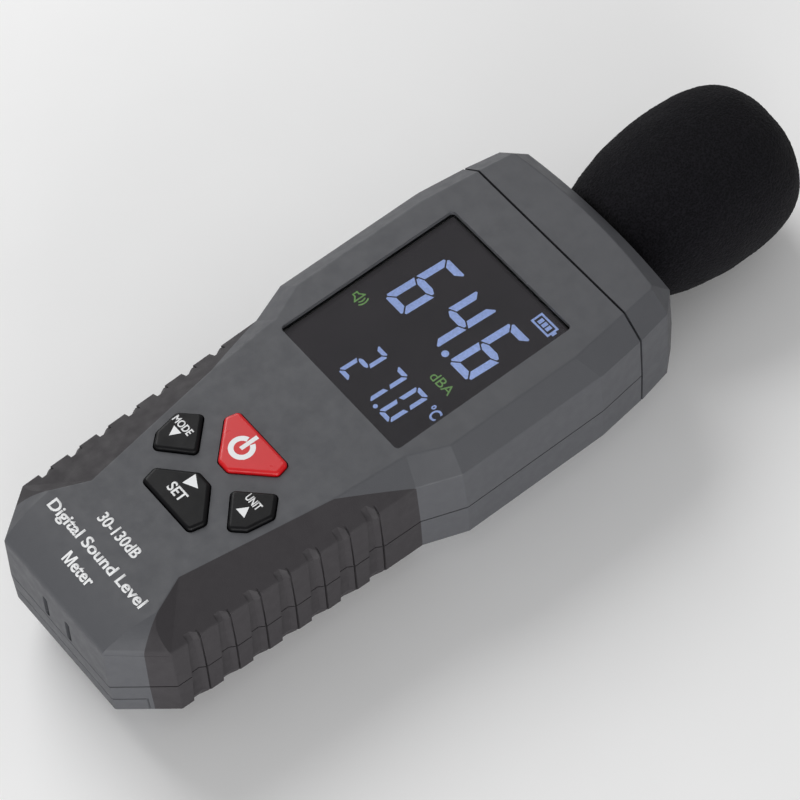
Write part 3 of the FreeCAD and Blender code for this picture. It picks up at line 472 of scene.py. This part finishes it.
def figures(text, left, low, width, height, stroke, advance, slant):
    """Slanted seven-segment figures in a row; a point after a figure sits at its lower right."""
    outlines = []
    x = left
    for character in text:
        if character == ".":
            middle = x - advance + width + (advance - width) * 0.56
            outlines.append([(middle + stroke * 0.4 * math.cos(t * math.pi / 8),
                              low + stroke * (0.45 + 0.4 * math.sin(t * math.pi / 8))) for t in range(16)])
            continue
        for shape in segment_shapes(FIGURES[character], width, height, stroke):
            outlines.append([(x + p.x + p.y * slant, low + p.y) for p in shape])
        x += advance
    return outlines


def square(x, y, width, height):
    return [(x, y), (x + width, y), (x + width, y + height), (x, y + height)]


def in_metres(outlines, origin=(0.0, 0.0)):
    return [[(origin[0] + x * MM, origin[1] + y * MM) for x, y in outline] for outline in outlines]


def strip(a, b, width):
    """A straight line of print between two points."""
    along = (Vector(b) - Vector(a)).normalized() * width / 2
    side = Vector((-along.y, along.x))
    return [Vector(a) - along - side, Vector(b) + along - side, Vector(b) + along + side, Vector(a) - along + side]


def arc_band(centre, radius, stroke, start, end, steps=24):
    """Part of a ring, between two angles in degrees."""
    outline = []
    for r, turns in ((radius + stroke / 2, range(steps + 1)), (radius - stroke / 2, reversed(range(steps + 1)))):
        for i in turns:
            t = math.radians(start + (end - start) * i / steps)
            outline.append((centre[0] + r * math.cos(t), centre[1] + r * math.sin(t)))
    return outline


LIT_BLUE = glowing("segment_blue", colour(139, 160, 205), 1.0)
LIT_GREEN = glowing("segment_green", colour(104, 150, 78), 0.8)
LEVEL_FIGURES = figures("64.6", -12.75, 0.0, 6.6, 15.6, 1.95, 10.1, 0.06)
TEMPERATURE_FIGURES = figures("27.0", -4.95, -17.6, 4.0, 9.9, 1.25, 6.3, 0.05)
plates("level_figures", in_metres(LEVEL_FIGURES), INK_LOW, INK_THICK, LIT_BLUE, "housing")
plates("temperature_figures", in_metres(TEMPERATURE_FIGURES), INK_LOW, INK_THICK, LIT_BLUE, "housing")

BATTERY_X, BATTERY_Y = 10.7, 18.5        # lower left corner of the battery sign
BATTERY_WIDE, BATTERY_HIGH = 5.2, 2.9
BATTERY_LINE = 0.45
BATTERY_CELL = 0.85                      # width of one charge mark
BATTERY_PITCH = 1.15
battery = [
    square(BATTERY_X, BATTERY_Y, BATTERY_WIDE, BATTERY_LINE),
    square(BATTERY_X, BATTERY_Y + BATTERY_HIGH - BATTERY_LINE, BATTERY_WIDE, BATTERY_LINE),
    square(BATTERY_X, BATTERY_Y + BATTERY_LINE, BATTERY_LINE, BATTERY_HIGH - 2 * BATTERY_LINE),
    square(BATTERY_X + BATTERY_WIDE - BATTERY_LINE, BATTERY_Y + BATTERY_LINE, BATTERY_LINE,
           BATTERY_HIGH - 2 * BATTERY_LINE),
    square(BATTERY_X + BATTERY_WIDE, BATTERY_Y + 0.9, 0.5, BATTERY_HIGH - 1.8),
]
battery += [square(BATTERY_X + 1.0 + BATTERY_PITCH * i, BATTERY_Y + 0.8, BATTERY_CELL, BATTERY_HIGH - 1.6)
            for i in range(3)]
plates("battery_sign", in_metres(battery), INK_LOW, INK_THICK, LIT_BLUE, "housing")

SPEAKER = (-15.7, -3.7)
SPEAKER_LINE = 0.3
SPEAKER_CORNERS = ((-1.1, -0.5), (-0.5, -0.5), (0.45, -1.3), (0.45, 1.3), (-0.5, 0.5), (-1.1, 0.5))
corners = [Vector(SPEAKER) + Vector(corner) for corner in SPEAKER_CORNERS]
cone = [strip(corners[i - 1], corners[i], SPEAKER_LINE) for i in range(len(corners))]
waves = [arc_band(SPEAKER, radius, SPEAKER_LINE, -38, 38) for radius in (1.3, 2.0)]
plates("speaker_sign", in_metres(cone + waves), INK_LOW, INK_THICK, LIT_GREEN, "housing")
lettering("unit_decibel", "dBA", 3.2 * MM, (11.0 * MM, -3.9 * MM), INK_LOW, INK_THICK, LIT_GREEN,
          "housing", width=5.8 * MM)
lettering("unit_celsius", "\u00b0C", 3.6 * MM, (15.2 * MM, -9.4 * MM), INK_LOW, INK_THICK, LIT_BLUE,
          "housing", bold=0.08 * MM, width=2.9 * MM)


# ---- printed marks ----
PRINT_THICK = 0.03 * MM
PRINT_BOLD = 0.022          # added to each side of a key word's strokes, as a share of its size
ROW_SIZE = 3.4 * MM
ROW_BOLD = 0.085 * MM
FACE_CLEAR = 0.045 * MM     # print stands this far above the face, so that it clears the roll between its corners
ROLL_START = 13.0 * MM      # the face rolls down to the bottom end from here
ROLL_RADIUS = 24.43 * MM
key_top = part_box("key_mode")[1].z + 0.005 * MM


def face_level(y):
    """Just above the case's face, which rolls down towards the bottom end."""
    back = max(0.0, low_end + ROLL_START - y)
    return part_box("front_case")[1].z + FACE_CLEAR - ROLL_RADIUS + math.sqrt(ROLL_RADIUS ** 2 - back ** 2)


def key_print(body, key, word, size, width, centre, triangle):
    """The word on a key and the arrow beside it, in millimetres across and from the bottom end of the case."""
    at = (centre[0] * MM, low_end + centre[1] * MM)
    lettering(key + "_word", word, size * MM, at, key_top, PRINT_THICK, PRINT, body,
              bold=size * PRINT_BOLD * MM, width=width * MM)
    plates(key + "_arrow", in_metres([triangle], (0.0, low_end)), key_top, PRINT_THICK, PRINT, body)


key_print("mode_button", "mode", "MODE", 2.3, 5.1, (-12.1, 40.7), [(-13.2, 39.4), (-12.0, 37.3), (-10.9, 39.4)])
key_print("unit_button", "unit", "UNIT", 2.3, 3.8, (10.5, 40.7), [(9.5, 37.2), (12.1, 37.2), (10.8, 39.4)])
key_print("set_button", "set", "SET", 3.1, 4.5, (-0.8, 31.0), [(-1.8, 32.9), (1.2, 34.4), (-1.7, 36.0)])

POWER_CENTRE = (-0.67, 46.3)
POWER_RING = 2.15
POWER_LINE = 1.1
ring = arc_band(POWER_CENTRE, POWER_RING, POWER_LINE, 110, 430, steps=64)
bar = square(POWER_CENTRE[0] - 0.45, POWER_CENTRE[1] - 0.3, 0.9, 4.1)
plates("power_sign", in_metres([ring, bar], (0.0, low_end)), key_top, PRINT_THICK, PRINT, "power_button")

for name, words, width, centre in (("range_print", "30-130dB", 11.8, (-0.6, 17.1)),
                                   ("kind_print", "Digital Sound Level", 29.8, (-0.3, 11.2)),
                                   ("meter_print", "eter", 5.83, (1.28, 6.82))):
    at = (centre[0] * MM, low_end + centre[1] * MM)
    lettering(name, words, ROW_SIZE, at, face_level, PRINT_THICK, PRINT, "housing",
              bold=ROW_BOLD, width=width * MM)

# The capital is drawn apart, because the font's own outline folds over itself when it is made bold.
CAPITAL_SIZE = (2.35, 2.49)
CAPITAL_SPOT = (-4.2, 5.77)
capital = [(0, 0), (0.19, 0), (0.19, 0.70), (0.41, 0), (0.59, 0), (0.81, 0.70), (0.81, 0), (1, 0), (1, 1), (0.75, 1),
           (0.5, 0.28), (0.25, 1), (0, 1)]
capital = [(CAPITAL_SPOT[0] + x * CAPITAL_SIZE[0], CAPITAL_SPOT[1] + y * CAPITAL_SIZE[1]) for x, y in capital]
plates("meter_capital", in_metres([capital], (0.0, low_end)), face_level, PRINT_THICK, PRINT, "housing")


# ---- camera ----
AIM = Vector((2.57 * MM, -8.48 * MM, 20.0 * MM))
AZIMUTH = math.radians(-33.721)
ELEVATION = math.radians(57.079)
ROLL = math.radians(5.589)
DISTANCE = 735.78 * MM
LENS = 168.0
SENSOR = 36.0


def place_camera():
    towards = Vector((math.cos(ELEVATION) * math.cos(AZIMUTH), math.cos(ELEVATION) * math.sin(AZIMUTH),
                      math.sin(ELEVATION)))
    data = bpy.data.cameras.new("camera")
    data.lens = LENS
    data.sensor_width = SENSOR
    data.clip_start = 0.01
    data.clip_end = 20.0
    camera = bpy.data.objects.new("camera", data)
    turn = towards.to_track_quat("Z", "Y") @ Quaternion((0, 0, 1), -ROLL)
    camera.matrix_world = Matrix.Translation(AIM + towards * DISTANCE) @ turn.to_matrix().to_4x4()
    bpy.context.scene.collection.objects.link(camera)
    bpy.context.scene.camera = camera


place_camera()


# ---- floor and lights ----
FLOOR_HALF = 3.0
FLOOR_GAP = 0.02 * MM
LIGHT_DISTANCE = 1.2
LIGHT_SIZE = 0.9


def floor_material():
    shader = Shader("floor_paper")
    shader.link(shader.ramp(shader.noise(60.0, 3.0), colour(246, 246, 246), colour(249, 249, 249)), "Base Color")
    shader.link(shader.ramp(shader.noise(4.0, 3.0), 0.8, 0.9), "Roughness")
    return shader.material


def make_floor():
    half = FLOOR_HALF
    mesh = bpy.data.meshes.new("floor")
    mesh.from_pydata([(-half, -half, 0), (half, -half, 0), (half, half, 0), (-half, half, 0)], [], [(0, 1, 2, 3)])
    floor = bpy.data.objects.new("floor", mesh)
    floor.location.z = cad_bounds[0][2] - FLOOR_GAP
    mesh.materials.append(floor_material())
    bpy.context.scene.collection.objects.link(floor)


def soft_light(name, azimuth, elevation, power):
    """A round soft box aimed at the object; angles in degrees, power in watts."""
    data = bpy.data.lights.new(name, "AREA")
    data.shape = "DISK"
    data.size = LIGHT_SIZE
    data.energy = power
    light = bpy.data.objects.new(name, data)
    a, e = math.radians(azimuth), math.radians(elevation)
    towards = Vector((math.cos(e) * math.cos(a), math.cos(e) * math.sin(a), math.sin(e)))
    turn = towards.to_track_quat("Z", "Y").to_matrix().to_4x4()
    light.matrix_world = Matrix.Translation(towards * LIGHT_DISTANCE) @ turn
    bpy.context.scene.collection.objects.link(light)


def make_world():
    world = bpy.data.worlds.new("studio")
    world.use_nodes = True
    sky = world.node_tree.nodes["Background"]
    sky.inputs["Color"].default_value = (1, 1, 1, 1)
    sky.inputs["Strength"].default_value = 0.39
    bpy.context.scene.world = world


make_floor()
make_world()
soft_light("key_left", 175, 40, 9.0)
soft_light("low", -62, 5, 6.2)
soft_light("low_right", -25, 5, 11.1)
bpy.context.scene.view_settings.view_transform = "Standard"
